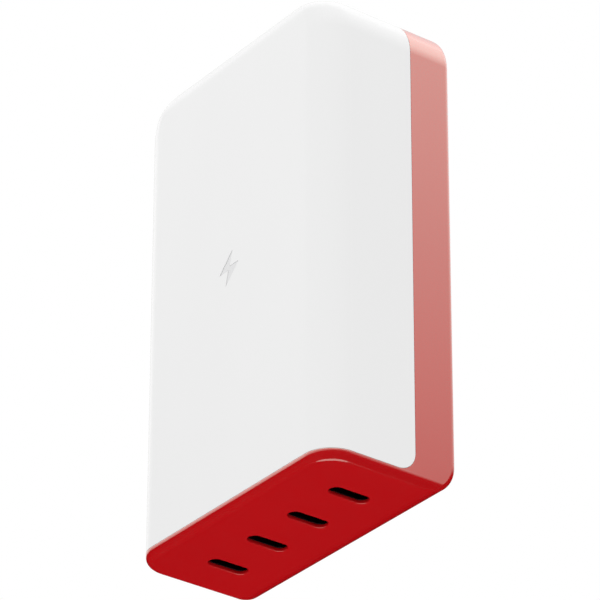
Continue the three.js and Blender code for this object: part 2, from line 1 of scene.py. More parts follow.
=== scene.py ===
# A slim mains wall charger: white cover, red rear casing, four USB-C sockets in its lower end and a
# two-blade plug that folds into its back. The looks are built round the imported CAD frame.

import json
import math

import bmesh
import bpy
from mathutils import Matrix, Vector


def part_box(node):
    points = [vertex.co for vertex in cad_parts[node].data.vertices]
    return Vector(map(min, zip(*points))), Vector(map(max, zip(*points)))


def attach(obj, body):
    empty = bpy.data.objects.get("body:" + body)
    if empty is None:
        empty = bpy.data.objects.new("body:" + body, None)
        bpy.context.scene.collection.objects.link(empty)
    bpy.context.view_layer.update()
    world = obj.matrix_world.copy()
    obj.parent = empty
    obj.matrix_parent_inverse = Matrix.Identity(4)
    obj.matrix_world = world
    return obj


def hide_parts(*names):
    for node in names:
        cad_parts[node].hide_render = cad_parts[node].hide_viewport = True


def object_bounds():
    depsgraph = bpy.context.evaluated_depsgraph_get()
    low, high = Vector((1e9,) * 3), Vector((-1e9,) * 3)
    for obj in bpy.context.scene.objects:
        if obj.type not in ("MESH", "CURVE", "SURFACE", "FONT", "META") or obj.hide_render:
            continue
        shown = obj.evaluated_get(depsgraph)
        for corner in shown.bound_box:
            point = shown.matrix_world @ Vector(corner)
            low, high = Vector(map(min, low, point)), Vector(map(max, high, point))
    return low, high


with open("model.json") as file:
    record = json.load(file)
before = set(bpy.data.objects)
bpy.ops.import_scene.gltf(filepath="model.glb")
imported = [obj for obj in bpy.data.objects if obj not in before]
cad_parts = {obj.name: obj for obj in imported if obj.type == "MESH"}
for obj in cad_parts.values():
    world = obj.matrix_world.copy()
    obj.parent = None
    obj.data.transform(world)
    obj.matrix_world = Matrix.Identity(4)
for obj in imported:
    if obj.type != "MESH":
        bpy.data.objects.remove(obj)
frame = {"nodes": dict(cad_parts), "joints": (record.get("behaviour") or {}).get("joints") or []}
cad_low, cad_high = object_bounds()

MM = 0.001


def box_mm(node):
    """A CAD node's lowest and highest corners, in millimetres."""
    low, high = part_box(node)
    return low / MM, high / MM


# ---------------------------------------------------------------- sizes, in millimetres

half_width = cad_high.x / MM
front_y = cad_low.y / MM
rear_y = cad_high.y / MM
height = cad_high.z / MM

wall = 2.0
floor_wall = 1.5
front_edge = 6.2
rear_edge = 1.4
top_corner = 10.0
front_top = 6.0
rear_top = 1.4
foot = 1.5
rear_foot = 6.5

seam_y = 5.5
seam_z = 2.1
seam_corner = 4.0
seam_gap = 0.06
seam_round = 0.14
lip_thickness = 1.2
lip_reach = 2.5
lip_gap = 0.2
lip_overlap = 0.3

sides = {"left": -1, "right": 1}

socket_count = 4
socket_low, socket_high = box_mm("usb_c_shell_1")
socket_y = (socket_low.y + socket_high.y) / 2
slot_length = 8.7
slot_width = 3.0
slot_lip = 0.6
slot_round = 0.25
shell_room = 0.12
shell_sheet = 0.3
tongue_width = 6.7
tongue_thickness = 0.7
tongue_corner = 0.3
tongue_front_round = 0.25
tongue_base_round = 0.15
tongue_base_z = 7.2
contact_count = 12
contact_pitch = 0.5
contact_width = 0.26
contact_rise = 0.03
contact_corner = 0.1
contact_bevel = 0.03
contact_low = 1.9
contact_high = 6.5

mark_bevel = 0.1
mark_gap = 0.1

hinge_y, hinge_z = (place / MM for place in frame["joints"][0]["pos_m"][1:])

well_low, well_high = box_mm("plug_well")
well_flange = 1.2
well_side = well_high.x - well_flange
well_bottom = well_low.z + well_flange
well_top = well_high.z - well_flange
well_corner = 3.6
well_wall = 1.6
well_floor_y = hinge_y - 4.0
well_gap = 0.2
well_back_round = 0.3
flange_thickness = 1.1
flange_round = 0.2
tail_room = 4.3
part_gap = 0.3
contact_sheet = 0.4
detent_pocket = 0.9
pocket_corner = 2.0
pocket_floor_round = 0.5
rim_round = 0.3

drum_low, drum_high = box_mm("prong_carrier")
drum_radius = hinge_y - drum_low.y
drum_flat = drum_high.z - hinge_z
drum_corner = 0.6
drum_round = 0.3
pin_clearance = 0.1
bearing_reach = 0.2

blade_shank = 4.4
blade_tail = 3.0
blade_shoulder = 4.0
blade_taper = 0.6
blade_tip_round = 1.6
blade_hole = 1.6
blade_hole_from_tip = 4.0
blade_bevel = 0.22
blade_clearance = 0.1
blade_slot_corner = 0.1
hole_round = 0.12

floor_radius = 12000
floor_top = -1000
floor_thickness = 10


# ---------------------------------------------------------------- mesh tools

def new_object(name, bm):
    mesh = bpy.data.meshes.new(name)
    bmesh.ops.recalc_face_normals(bm, faces=bm.faces)
    bm.to_mesh(mesh)
    bm.free()
    obj = bpy.data.objects.new(name, mesh)
    bpy.context.scene.collection.objects.link(obj)
    return obj


def arc(centre_u, centre_v, radius, start, end, count):
    """Points on an arc, angles in degrees, both ends included."""
    points = []
    for i in range(count):
        angle = math.radians(start + (end - start) * i / (count - 1))
        points.append((centre_u + radius * math.cos(angle), centre_v + radius * math.sin(angle)))
    return points


def rounded_rectangle(left, bottom, right, top, radius, count=9):
    points = arc(right - radius, top - radius, radius, 0, 90, count)
    points += arc(left + radius, top - radius, radius, 90, 180, count)
    points += arc(left + radius, bottom + radius, radius, 180, 270, count)
    points += arc(right - radius, bottom + radius, radius, 270, 360, count)
    return points


def rectangle_shape(left, bottom, right, top, radius, count=9):
    """A function that gives the rounded rectangle drawn in by an inset, or let out by a negative one."""
    def shape(inset):
        return rounded_rectangle(left + inset, bottom + inset, right - inset, top - inset,
                                 max(radius - inset, 0.02), count)
    return shape


def slot_shape(x, length, width):
    """A slot with round ends, its long side along Y, in line with the row of sockets."""
    return rectangle_shape(x - width / 2, socket_y - length / 2, x + width / 2, socket_y + length / 2,
                           width / 2 - 0.001, 11)


def circle_shape(u, v, radius, count=33):
    def shape(inset):
        return arc(u, v, radius - inset, 0, 360, count)[:-1]
    return shape


AXES = {"x": (1, 2, 0), "y": (0, 2, 1), "z": (0, 1, 2)}


def lay(outline, axis, level):
    """The outline in space. Its points are (y, z), (x, z) or (x, y) where the axis is X, Y or Z."""
    first, second, along = AXES[axis]
    points = []
    for u, v in outline:
        point = [0.0, 0.0, 0.0]
        point[first] = u
        point[second] = v
        point[along] = level
        points.append(point)
    return points


def skin(bm, rings, closed=False):
    """Faces over rings of points, capped at both ends or joined into a loop."""
    made = [[bm.verts.new(Vector(point) * MM) for point in ring] for ring in rings]
    pairs = list(zip(made, made[1:]))
    if closed:
        pairs.append((made[-1], made[0]))
    else:
        bm.faces.new(made[0])
        bm.faces.new(made[-1])
    for low, high in pairs:
        for i in range(len(low)):
            following = (i + 1) % len(low)
            bm.faces.new((low[i], low[following], high[following], high[i]))


def stack(name, rings, closed=False):
    bm = bmesh.new()
    skin(bm, rings, closed)
    return new_object(name, bm)


def prism(name, outline, axis, low, high):
    return stack(name, [lay(outline, axis, low), lay(outline, axis, high)])


def quarter(level, direction, radius, steps=5):
    """(level, inset) pairs round an end's edge, from the end face inwards. A negative radius flares out."""
    if radius == 0:
        return [(level, 0.0)]
    pairs = []
    for i in range(steps + 1):
        angle = math.radians(90 * i / steps)
        inwards = level + direction * abs(radius) * (1 - math.cos(angle))
        pairs.append((inwards, radius * (1 - math.sin(angle))))
    return pairs


def rounded_rings(shape, axis, low, high, low_round=0.0, high_round=0.0):
    """Rings of a prism with rounded ends. A negative round flares that end and carries on past it, to cut
    the rounded mouth of a hole."""
    beyond = 1.0
    start = quarter(low, 1, low_round)
    end = quarter(high, -1, high_round)
    if low_round < 0:
        start.insert(0, (low - beyond, low_round))
    if high_round < 0:
        end.insert(0, (high + beyond, high_round))
    return [lay(shape(inset), axis, level) for level, inset in start + end[::-1]]


def rounded_prism(name, shape, axis, low, high, low_round=0.0, high_round=0.0):
    return stack(name, rounded_rings(shape, axis, low, high, low_round, high_round))


def apply_modifiers(obj):
    graph = bpy.context.evaluated_depsgraph_get()
    evaluated = obj.evaluated_get(graph)
    mesh = bpy.data.meshes.new_from_object(evaluated)
    obj.modifiers.clear()
    old = obj.data
    obj.data = mesh
    bpy.data.meshes.remove(old)


def combine(target, other, operation):
    """Cuts, joins or intersects target with other, which is used up."""
    modifier = target.modifiers.new("combine", "BOOLEAN")
    modifier.operation = operation
    modifier.solver = "EXACT"
    modifier.object = other
    apply_modifiers(target)
    bpy.data.objects.remove(other)
    return target


def round_edges(obj, radius, chosen, segments=2, sharpest=50):
    """Rounds the hard edges whose middles, in millimetres, chosen() picks."""
    bm = bmesh.new()
    bm.from_mesh(obj.data)
    bmesh.ops.remove_doubles(bm, verts=bm.verts, dist=0.002 * MM)
    edges = []
    for edge in bm.edges:
        if len(edge.link_faces) != 2 or edge.calc_face_angle(0) < math.radians(sharpest):
            continue
        if chosen((edge.verts[0].co + edge.verts[1].co) / (2 * MM)):
            edges.append(edge)
    bmesh.ops.bevel(bm, geom=edges, offset=radius * MM, segments=segments, profile=0.5,
                    affect="EDGES", clamp_overlap=True, harden_normals=False)
    bm.to_mesh(obj.data)
    bm.free()


def smooth(obj, angle=35):
    obj.data.shade_smooth()
    obj.data.set_sharp_from_angle(angle=math.radians(angle))
    modifier = obj.modifiers.new("normals", "WEIGHTED_NORMAL")
    modifier.keep_sharp = True
    modifier.weight = 60
    return obj


def install(obj, slot, body, *nodes):
    """Gives a finished piece its finish, its body and the CAD nodes it stands for."""
    smooth(obj)
    obj.data.materials.clear()
    obj.data.materials.append(finishes[slot])
    if nodes:
        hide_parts(*nodes)
    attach(obj, body)
    return obj


# ---------------------------------------------------------------- material tools

def new_material(name, colour, roughness, metallic=0.0, specular=0.5):
    material = bpy.data.materials.new(name)
    material.use_nodes = True
    shader = material.node_tree.nodes["Principled BSDF"]
    shader.inputs["Base Color"].default_value = (*colour, 1)
    shader.inputs["Roughness"].default_value = roughness
    shader.inputs["Metallic"].default_value = metallic
    shader.inputs["Specular IOR Level"].default_value = specular
    return material


def noise(tree, scale, stretch=(1, 1, 1), detail=2.0):
    """Noise from 0 to 1 in the piece's own space. The scale is in features per metre."""
    place = tree.nodes.new("ShaderNodeTexCoord")
    mapping = tree.nodes.new("ShaderNodeMapping")
    texture = tree.nodes.new("ShaderNodeTexNoise")
    mapping.inputs["Scale"].default_value = stretch
    texture.inputs["Scale"].default_value = scale
    texture.inputs["Detail"].default_value = detail
    tree.links.new(place.outputs["Object"], mapping.inputs["Vector"])
    tree.links.new(mapping.outputs["Vector"], texture.inputs["Vector"])
    return texture.outputs["Fac"]


def ramp(tree, value, from_low, from_high, to_low, to_high, smooth_step=False):
    node = tree.nodes.new("ShaderNodeMapRange")
    node.interpolation_type = "SMOOTHSTEP" if smooth_step else "LINEAR"
    node.inputs["From Min"].default_value = from_low
    node.inputs["From Max"].default_value = from_high
    node.inputs["To Min"].default_value = to_low
    node.inputs["To Max"].default_value = to_high
    tree.links.new(value, node.inputs["Value"])
    return node.outputs["Result"]


def spread(tree, value, low, high):
    """A noise value's usual range, stretched from low to high."""
    return ramp(tree, value, 0.3, 0.7, low, high)


def vary_colour(material, value, dark, light):
    tree = material.node_tree
    mix = tree.nodes.new("ShaderNodeMix")
    mix.data_type = "RGBA"
    mix.inputs["A"].default_value = (*dark, 1)
    mix.inputs["B"].default_value = (*light, 1)
    tree.links.new(spread(tree, value, 0, 1), mix.inputs["Factor"])
    tree.links.new(mix.outputs["Result"], tree.nodes["Principled BSDF"].inputs["Base Color"])


def vary_roughness(material, value, low, high):
    tree = material.node_tree
    tree.links.new(spread(tree, value, low, high), tree.nodes["Principled BSDF"].inputs["Roughness"])


def add_relief(material, value, depth):
    """Bump of this depth in millimetres."""
    tree = material.node_tree
    bump = tree.nodes.new("ShaderNodeBump")
    bump.inputs["Strength"].default_value = 1.0
    bump.inputs["Distance"].default_value = depth * MM
    tree.links.new(value, bump.inputs["Height"])
    tree.links.new(bump.outputs["Normal"], tree.nodes["Principled BSDF"].inputs["Normal"])


def shade(colour, factor):
    return tuple(channel * factor for channel in colour)


# ---------------------------------------------------------------- materials

def moulded_plastic(name, colour, roughness, specular=0.5, variation=0.02, relief=0.002, reflection=(1, 1, 1),
                    ior=1.5):
    """Moulded plastic: faint flow marks in its colour, an uneven polish and a fine tool grain."""
    material = new_material(name, colour, roughness, specular=specular)
    tree = material.node_tree
    tree.nodes["Principled BSDF"].inputs["Specular Tint"].default_value = (*reflection, 1)
    tree.nodes["Principled BSDF"].inputs["IOR"].default_value = ior
    flow = noise(tree, 45, (1, 1, 0.35))
    vary_colour(material, flow, shade(colour, 1 - variation), shade(colour, 1 + variation))
    polish = noise(tree, 320, detail=3)
    vary_roughness(material, polish, roughness * 0.9, roughness * 1.12)
    grain = noise(tree, 5200, detail=1)
    add_relief(material, grain, relief)
    return material


def drawn_metal(name, colour, roughness, along="z", relief=0.002):
    """Metal with fine lines left along one axis by drawing or brushing."""
    material = new_material(name, colour, roughness, metallic=1.0)
    tree = material.node_tree
    stretch = [1.0, 1.0, 1.0]
    stretch["xyz".index(along)] = 0.03
    lines = noise(tree, 5000, stretch, detail=3)
    tarnish = noise(tree, 260, detail=4)
    vary_colour(material, tarnish, shade(colour, 0.9), shade(colour, 1.04))
    vary_roughness(material, lines, roughness * 0.7, roughness * 1.35)
    add_relief(material, lines, relief)
    return material


def wound_wire(name, colour):
    """Enamelled wire laid in turns: a rib for each turn, and painted shade in the grooves between them."""
    material = new_material(name, colour, 0.3, metallic=0.85)
    tree = material.node_tree
    place = tree.nodes.new("ShaderNodeTexCoord")
    wave = tree.nodes.new("ShaderNodeTexWave")
    wave.bands_direction = "Z"
    wave.inputs["Scale"].default_value = 420
    wave.inputs["Distortion"].default_value = 0.4
    tree.links.new(place.outputs["Object"], wave.inputs["Vector"])
    # painted shade: the colour darkens with the bump's grooves between the turns
    vary_colour(material, wave.outputs["Fac"], shade(colour, 0.45), shade(colour, 1.1))
    add_relief(material, wave.outputs["Fac"], 0.08)
    return material


def printed_board(name, colour):
    """Solder mask over copper tracks: raised, paler lines between the cells of a coarse pattern."""
    material = new_material(name, colour, 0.35)
    tree = material.node_tree
    place = tree.nodes.new("ShaderNodeTexCoord")
    tracks = tree.nodes.new("ShaderNodeTexBrick")
    tracks.inputs["Scale"].default_value = 160
    tracks.inputs["Mortar Size"].default_value = 0.03
    tracks.inputs["Color1"].default_value = (*shade(colour, 0.9), 1)
    tracks.inputs["Color2"].default_value = (*shade(colour, 1.1), 1)
    tracks.inputs["Mortar"].default_value = (*shade(colour, 1.9), 1)
    turned = tree.nodes.new("ShaderNodeMapping")
    turned.inputs["Rotation"].default_value = (math.radians(90), 0, 0)
    tree.links.new(place.outputs["Object"], turned.inputs["Vector"])
    tree.links.new(turned.outputs["Vector"], tracks.inputs["Vector"])
    tree.links.new(tracks.outputs["Color"], tree.nodes["Principled BSDF"].inputs["Base Color"])
    vary_roughness(material, noise(tree, 900), 0.28, 0.42)
    add_relief(material, tracks.outputs["Fac"], 0.03)
    return material


def sintered(name, colour, roughness):
    """A pressed and fired body: fine pores and a mottled colour."""
    material = new_material(name, colour, roughness)
    tree = material.node_tree
    pores = noise(tree, 2600, detail=4)
    vary_colour(material, pores, shade(colour, 0.75), shade(colour, 1.25))
    vary_roughness(material, pores, roughness * 0.85, roughness * 1.15)
    add_relief(material, pores, 0.01)
    return material


def make_finishes():
    """One material for each of the record's slots."""
    return {
        "white_cover": moulded_plastic("white_polycarbonate", (0.790, 0.790, 0.790), 0.1, 0.07, 0.006),
        "red_shell": moulded_plastic("red_polycarbonate", (0.503, 0.0038, 0.0065), 0.1, 0.5, 0.02,
                                     reflection=(0.82, 1.0, 0.88), ior=2.3),
        "pale_mark": moulded_plastic("pale_inlay", (0.70, 0.70, 0.705), 0.25, 0.1),
        # black nickel plating, also made this dark as painted shade for the insides of the sockets
        "socket_shell": drawn_metal("black_nickel_and_shade", (0.06, 0.06, 0.065), 0.32),
        "socket_insulator": moulded_plastic("black_insulator", (0.012, 0.012, 0.013), 0.5),
        "blade_metal": drawn_metal("nickel_plate", (0.72, 0.70, 0.66), 0.24),
        "spring_metal": drawn_metal("spring_steel", (0.55, 0.55, 0.56), 0.3, "x"),
        "contact_metal": drawn_metal("contact_bronze", (0.72, 0.46, 0.17), 0.28),
        "lead_insulation": moulded_plastic("lead_insulation", (0.03, 0.03, 0.032), 0.45),
        "board_laminate": printed_board("board_laminate", (0.012, 0.1, 0.045)),
        "black_part": moulded_plastic("black_part", (0.014, 0.014, 0.015), 0.5, relief=0.006),
        "ferrite": sintered("ferrite", (0.03, 0.03, 0.032), 0.6),
        "copper_wire": wound_wire("enamelled_copper", (0.62, 0.22, 0.1)),
        "aluminium_part": drawn_metal("aluminium", (0.68, 0.69, 0.7), 0.36),
        "film_yellow": moulded_plastic("capacitor_yellow", (0.62, 0.42, 0.05), 0.42),
        "insulating_film": moulded_plastic("polyester_film", (0.66, 0.5, 0.2), 0.3),
        "fuse_ceramic": sintered("fuse_ceramic", (0.72, 0.7, 0.64), 0.4),
    }


def finish_cad_nodes():
    """Each CAD node comes in with a material named after its slot, and gets that slot's finish."""
    for node in frame["nodes"].values():
        node.data.materials[0] = finishes[node.data.materials[0].name]


# ---------------------------------------------------------------- the body's form

def edge_inset(radius, distance):
    """How far a surface has drawn in at this distance from the end of a rounded edge."""
    if distance >= radius:
        return 0.0
    return radius - math.sqrt(max(radius ** 2 - (radius - distance) ** 2, 0.0))


def end_steps(radius, count):
    """Distances from an end that follow a rounded edge in even turns."""
    return [radius * (1 - math.cos(math.radians(90 * i / count))) for i in range(count + 1)]


def body_form(name, inset, floor_inset):
    """The charger's outer form drawn in by inset, as horizontal rounded sections."""
    def drawn(radius):
        return max(radius - inset, 0.5)

    bottom = floor_inset
    top = height - inset
    heights = []
    for radius, count in ((drawn(foot), 8), (drawn(rear_foot), 18)):
        heights += [bottom + step for step in end_steps(radius, count)]
    for radius, count in ((drawn(top_corner), 24), (drawn(front_top), 14), (drawn(rear_top), 8)):
        heights += [top - step for step in end_steps(radius, count)]
    heights.sort()
    closest = 0.04
    seam_margin = 0.1
    kept = [heights[0]]
    for z in heights[1:]:
        if z - kept[-1] > closest and abs(z - seam_z) > seam_margin:
            kept.append(z)
    kept[-1] = top

    rings = []
    for z in kept:
        foot_inset = edge_inset(drawn(foot), z - bottom)
        side = half_width - inset - foot_inset - edge_inset(drawn(top_corner), top - z)
        front = front_y + inset + foot_inset + edge_inset(drawn(front_top), top - z)
        rear = rear_y - inset - edge_inset(drawn(rear_foot), z - bottom)
        rear -= edge_inset(drawn(rear_top), top - z)
        near = drawn(front_edge) - foot_inset
        far = drawn(rear_edge)
        outline = arc(side - far, rear - far, far, 0, 90, 9)
        outline += arc(far - side, rear - far, far, 90, 180, 9)
        outline += arc(near - side, front + near, near, 180, 270, 21)
        outline += arc(side - near, front + near, near, 270, 360, 21)
        rings.append(lay(outline, "z", z))
    return stack(name, rings)


def cover_space(name, inset):
    """Everything in front of and above the seam, drawn in by inset."""
    reach = 150
    y = seam_y - inset
    z = seam_z + inset
    radius = seam_corner - inset
    outline = [(-reach, z)]
    outline += arc(y - radius, z + radius, radius, -90, 0, 17)
    outline += [(y, reach), (-reach, reach)]
    return prism(name, outline, "x", -reach, reach)


def hollow_body(name):
    return combine(body_form(name, 0, 0), body_form("inside", wall, floor_wall), "DIFFERENCE")


# ---------------------------------------------------------------- cover and mark

mark_low, mark_high = box_mm("front_mark")


def bolt_outline(margin):
    """A plain lightning bolt that fills the mark's box, let out by the margin."""
    middle = (mark_low.z + mark_high.z) / 2
    w = mark_high.x + margin
    h = (mark_high.z - mark_low.z) / 2 + margin
    corners = [(0.35, 1), (-1, -0.12), (-0.08, -0.12), (-0.35, -1), (1, 0.12), (0.08, 0.12)]
    return [(u * w, middle + v * h) for u, v in corners]


def build_cover():
    cover = hollow_body("cover_shell")
    combine(cover, cover_space("space", seam_gap / 2), "INTERSECT")
    pocket = prism("pocket", bolt_outline(mark_gap), "y", front_y - 1, mark_high.y + mark_gap)
    combine(cover, pocket, "DIFFERENCE")
    round_edges(cover, seam_round, lambda middle: abs(middle.x) > mark_high.x + 1 or middle.y > 0)
    install(cover, "white_cover", "root", "front_cover")


def build_mark():
    mark = prism("bolt_inlay", bolt_outline(0), "y", mark_low.y, mark_high.y)
    round_edges(mark, mark_bevel, lambda middle: middle.y < mark_low.y + 0.01, sharpest=80)
    install(mark, "pale_mark", "root", "front_mark")


# ---------------------------------------------------------------- rear casing

def build_lip():
    """The band inside the seam that the cover's edge slides over."""
    lip = body_form("lip", wall - lip_overlap, floor_wall - lip_overlap)
    combine(lip, body_form("lip_inside", wall + lip_thickness, floor_wall), "DIFFERENCE")
    combine(lip, cover_space("near", -lip_reach), "INTERSECT")
    combine(lip, cover_space("far", lip_reach), "DIFFERENCE")
    room = cover_space("room", -seam_gap / 2)
    combine(room, body_form("room_inside", wall + lip_gap, -1), "DIFFERENCE")
    return combine(lip, room, "DIFFERENCE")


def socket_middle(number):
    low, high = box_mm(f"usb_c_shell_{number}")
    return (low.x + high.x) / 2


def build_casing():
    casing = hollow_body("rear_casing")
    combine(casing, cover_space("space", -seam_gap / 2), "DIFFERENCE")
    round_edges(casing, seam_round, lambda middle: True)
    combine(casing, build_lip(), "UNION")
    for number in range(1, socket_count + 1):
        low, high = box_mm(f"usb_c_shell_{number}")
        slot = slot_shape(socket_middle(number), slot_length, slot_width)
        recess = slot_shape(socket_middle(number), high.y - low.y, high.x - low.x)(-shell_room)
        combine(casing, rounded_prism("slot", slot, "z", 0, floor_wall + 1, -slot_round), "DIFFERENCE")
        combine(casing, prism("recess", recess, "z", slot_lip, floor_wall + 1), "DIFFERENCE")
    opening = well_shape(-well_gap)
    cutter = rounded_prism("opening", opening, "y", rear_y - wall - 3, rear_y, 0, -rim_round)
    combine(casing, cutter, "DIFFERENCE")
    install(casing, "red_shell", "root", "rear_shell")


# ---------------------------------------------------------------- USB-C sockets

def build_socket_shell(number):
    """A drawn steel tube, its front lip rolled round."""
    low, high = box_mm(f"usb_c_shell_{number}")
    shape = slot_shape(socket_middle(number), high.y - low.y, high.x - low.x)
    roll = shell_sheet / 2
    profile = [(high.z, 0.0)]
    for i in range(9):
        angle = math.radians(180 * i / 8)
        profile.append((low.z + roll * (1 - math.sin(angle)), roll * (1 - math.cos(angle))))
    profile.append((high.z, shell_sheet))
    rings = [lay(shape(inset), "z", level) for level, inset in profile]
    shell = stack(f"socket_shell_{number}", rings, closed=True)
    install(shell, "socket_shell", "root", f"usb_c_shell_{number}")


def build_socket_tongue(number):
    low, high = box_mm(f"usb_c_tongue_{number}")
    x = socket_middle(number)
    base = rounded_prism(f"socket_tongue_{number}", slot_shape(x, high.y - low.y, high.x - low.x), "z",
                         tongue_base_z, high.z, tongue_base_round)
    half = tongue_thickness / 2
    blade = rectangle_shape(x - half, socket_y - tongue_width / 2, x + half, socket_y + tongue_width / 2,
                            tongue_corner, 5)
    combine(base, rounded_prism("tongue", blade, "z", low.z, tongue_base_z + 1, tongue_front_round), "UNION")
    install(base, "socket_insulator", "root", f"usb_c_tongue_{number}")


def build_socket_contacts(number):
    """Twelve gold strips on each face of the tongue."""
    x = socket_middle(number)
    bm = bmesh.new()
    for side in sides.values():
        face = x + side * tongue_thickness / 2
        buried = face - side * contact_rise
        proud = face + side * contact_rise
        for i in range(contact_count):
            y = socket_y + (i - (contact_count - 1) / 2) * contact_pitch
            strip = rectangle_shape(y - contact_width / 2, contact_low, y + contact_width / 2, contact_high,
                                    contact_corner, 3)
            top = strip(contact_bevel)
            rings = [lay(strip(0), "x", buried), lay(strip(0), "x", face), lay(top, "x", proud)]
            skin(bm, rings)
    contacts = new_object(f"socket_contacts_{number}", bm)
    install(contacts, "contact_metal", "root")


# ---------------------------------------------------------------- folding plug

def well_shape(inset):
    """The well's outline drawn in by an inset, as a function of a further inset."""
    return rectangle_shape(-well_side + inset, well_bottom + inset, well_side - inset, well_top - inset,
                           well_corner - inset)


def cut_box(target, low, high):
    corners = [(low[0], low[1]), (high[0], low[1]), (high[0], high[1]), (low[0], high[1])]
    combine(target, prism("cut", corners, "z", low[2], high[2]), "DIFFERENCE")


def build_well():
    """The tub in the back: a pocket for the folded plug, with a flange behind the casing's wall."""
    tub = rounded_prism("plug_recess", well_shape(0), "y", well_low.y, rear_y, well_back_round, rim_round)
    flange_back = rear_y - wall - well_gap
    flange_front = flange_back - flange_thickness
    flange = rounded_prism("flange", well_shape(-well_flange), "y", flange_front, flange_back,
                           flange_round, flange_round)
    combine(tub, flange, "UNION")

    pocket = rectangle_shape(-well_side + well_wall, well_bottom + well_wall, well_side - well_wall,
                             well_top - well_wall, pocket_corner)
    cutter = rounded_prism("pocket", pocket, "y", well_floor_y, rear_y, pocket_floor_round, -rim_round)
    combine(tub, cutter, "DIFFERENCE")

    blade_low = box_mm("blade_right")[0]
    spring_low = box_mm("contact_spring_right")[0]
    near = blade_low.x - part_gap
    far = spring_low.x + contact_sheet + part_gap
    for side in sides.values():
        left, right = sorted((side * near, side * far))
        cut_box(tub, (left, 0, spring_low.z - part_gap), (right, well_floor_y + 1, hinge_z + tail_room))

    leaf_low, leaf_high = box_mm("detent_spring")
    cut_box(tub, (leaf_low.x - part_gap, well_floor_y - detent_pocket, leaf_low.z - part_gap),
            (leaf_high.x + part_gap, well_floor_y + 1, leaf_high.z + part_gap))

    pin_low, pin_high = box_mm("pivot_pin_right")
    bearing = circle_shape(hinge_y, hinge_z, (pin_high.z - pin_low.z) / 2 + pin_clearance)
    bearing_end = pin_high.x + bearing_reach
    combine(tub, rounded_prism("bearing", bearing, "x", -bearing_end, bearing_end), "DIFFERENCE")
    install(tub, "red_shell", "root", "plug_well")


def drum_shape(inset):
    """The carrier's section: round above the hinge with a detent flat on top, square below it."""
    radius = drum_radius - inset
    flat_angle = math.degrees(math.asin((drum_flat - inset) / radius))
    outline = arc(hinge_y, hinge_z, radius, 0, flat_angle, 13)
    outline += arc(hinge_y, hinge_z, radius, 180 - flat_angle, 180, 13)
    corner_z = hinge_z - radius + drum_corner
    outline += arc(hinge_y - radius + drum_corner, corner_z, drum_corner, 180, 270, 6)
    outline += arc(hinge_y + radius - drum_corner, corner_z, drum_corner, 270, 360, 6)
    return outline


def build_carrier():
    carrier = rounded_prism("plug_drum", drum_shape, "x", drum_low.x, drum_high.x, drum_round, drum_round)
    pin_low, pin_high = box_mm("pivot_pin_right")
    bore_radius = (pin_high.z - pin_low.z) / 2 + pin_clearance
    for word, side in sides.items():
        blade_low, blade_high = box_mm(f"blade_{word}")
        half_shank = blade_shank / 2 + blade_clearance
        slot = rectangle_shape(blade_low.x - blade_clearance, hinge_y - half_shank,
                               blade_high.x + blade_clearance, hinge_y + half_shank, blade_slot_corner, 3)
        cutter = rounded_prism("blade_slot", slot, "z", drum_low.z, drum_high.z, -hole_round, -hole_round)
        combine(carrier, cutter, "DIFFERENCE")
        inner, outer = sorted((side * (pin_low.x - pin_clearance), side * (drum_high.x + 1)))
        combine(carrier, prism("bore", circle_shape(hinge_y, hinge_z, bore_radius)(0), "x", inner, outer),
                "DIFFERENCE")
    install(carrier, "red_shell", "plug", "prong_carrier")


def blade_outline(low, high):
    """A stamped blade: tail and shank inside the drum, then the full width out to a rounded tip."""
    waist = hinge_z + drum_flat
    shoulder = hinge_z - blade_shoulder
    tail_y = hinge_y + blade_tail / 2
    shank_y = hinge_y + blade_shank / 2
    half = [(tail_y, high.z), (tail_y, waist), (shank_y, waist - blade_taper), (shank_y, shoulder),
            (high.y, shoulder)]
    half += arc(high.y - blade_tip_round, low.z + blade_tip_round, blade_tip_round, 0, -90, 9)
    mirrored = [(2 * hinge_y - y, z) for y, z in reversed(half)]
    return half + mirrored


def build_blade(word):
    low, high = box_mm(f"blade_{word}")
    blade = prism(f"plug_blade_{word}", blade_outline(low, high), "x", low.x, high.x)
    round_edges(blade, blade_bevel, lambda middle: True, segments=3, sharpest=60)
    hole = circle_shape(hinge_y, low.z + blade_hole_from_tip, blade_hole, 41)
    combine(blade, rounded_prism("hole", hole, "x", low.x, high.x, -hole_round, -hole_round), "DIFFERENCE")
    install(blade, "blade_metal", "plug", f"blade_{word}")


# ---------------------------------------------------------------- stage

def make_camera():
    azimuth = math.radians(53.097)
    elevation = math.radians(-29.4145)
    roll = math.radians(0.103)
    distance = 0.81197
    aside = 0.001269
    above = -0.001385
    back = Vector((math.sin(azimuth) * math.cos(elevation), -math.cos(azimuth) * math.cos(elevation),
                   math.sin(elevation)))
    right = Vector((0, 0, 1)).cross(back).normalized()
    up = back.cross(right)
    turned_right = right * math.cos(roll) + up * math.sin(roll)
    turned_up = up * math.cos(roll) - right * math.sin(roll)
    data = bpy.data.cameras.new("camera")
    data.sensor_width = 36
    data.lens = 253.87
    data.clip_start = 0.01
    data.clip_end = 50
    camera = bpy.data.objects.new("camera", data)
    bpy.context.scene.collection.objects.link(camera)
    place = Vector((0, 0, height * MM / 2)) + back * distance + turned_right * aside + turned_up * above
    turn = Matrix((turned_right, turned_up, back)).transposed().to_4x4()
    camera.matrix_world = Matrix.Translation(place) @ turn
    bpy.context.scene.camera = camera


def calculate(tree, operation, *values):
    node = tree.nodes.new("ShaderNodeMath")
    node.operation = operation
    for socket, value in zip(node.inputs, values):
        if isinstance(value, (int, float)):
            socket.default_value = value
        else:
            tree.links.new(value, socket)
    return node.outputs["Value"]


def toward(tree, direction, way):
    """How far a direction points along a given way."""
    node = tree.nodes.new("ShaderNodeVectorMath")
    node.operation = "DOT_PRODUCT"
    node.inputs[1].default_value = way
    tree.links.new(direction, node.inputs[0])
    return node.outputs["Value"]


